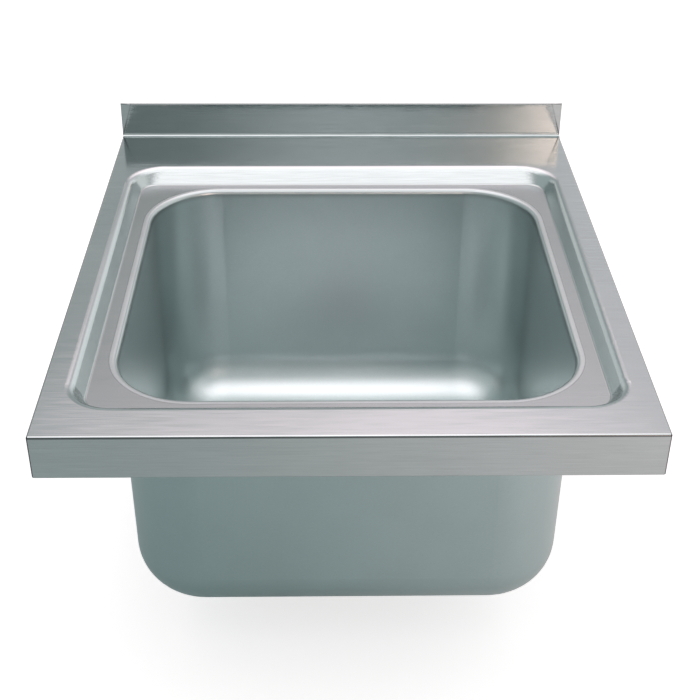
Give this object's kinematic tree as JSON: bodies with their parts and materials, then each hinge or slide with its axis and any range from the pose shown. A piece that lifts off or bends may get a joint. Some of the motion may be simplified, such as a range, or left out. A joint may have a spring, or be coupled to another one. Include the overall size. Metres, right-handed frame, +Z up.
{
  "type": "stainless sink top",
  "caption": "Sit-on stainless sink top: brushed worktop with folded aprons and rear upstand, pressed recess, deep bowl, leg-bolt corners and a waste with a lift-out basket.",
  "frame": {"origin": "centre of the rectangle of the four leg bolts, in the plane where the legs bear on the corner plates, just above the apron's bottom edge", "axes": "+Z up, +Y from the user towards the upstand and wall, +X to the user's right"},
  "size_m": [0.6, 0.7, 0.4445],
  "materials": {
    "worktop_steel": "fine grain brushed along the width, bright satin",
    "bowl_steel": "drawn and satin polished, soft sheen",
    "frame_steel": "mill finish sheet with bent edges",
    "nut_steel": "turned stainless",
    "waste_steel": "polished pressing",
    "waste_plastic": "moulded off-white polypropylene",
    "seal_rubber": "matt black rubber",
    "pad_bitumen": "matt sound-deadening sheet",
    "knob_plastic": "moulded black knob"
  },
  "bodies": {
    "sink": {"worktop": "worktop_steel", "bowl": "bowl_steel", "upstand_cap_left": "worktop_steel", "upstand_cap_right": "worktop_steel", "rear_rail": "frame_steel", "front_stiffener": "frame_steel", "rear_stiffener": "frame_steel", "corner_plate_front_left": "frame_steel", "corner_plate_front_right": "frame_steel", "corner_plate_rear_left": "frame_steel", "corner_plate_rear_right": "frame_steel", "leg_weld_nuts": "nut_steel", "earth_tag": "frame_steel", "sound_pad": "pad_bitumen", "cup_gasket": "seal_rubber", "strainer_cup": "waste_steel", "body_seal": "seal_rubber", "waste_body": "waste_plastic", "centre_screw": "nut_steel"},
    "basket": {"basket_stopper": "seal_rubber", "strainer_basket": "waste_steel", "basket_post": "nut_steel", "basket_knob": "knob_plastic"}
  },
  "joints": [
    {"name": "basket_lift", "type": "slide", "parent": "sink", "child": "basket", "axis": [0, 0, 1], "range_m": [0, 0.45]}
  ]
}
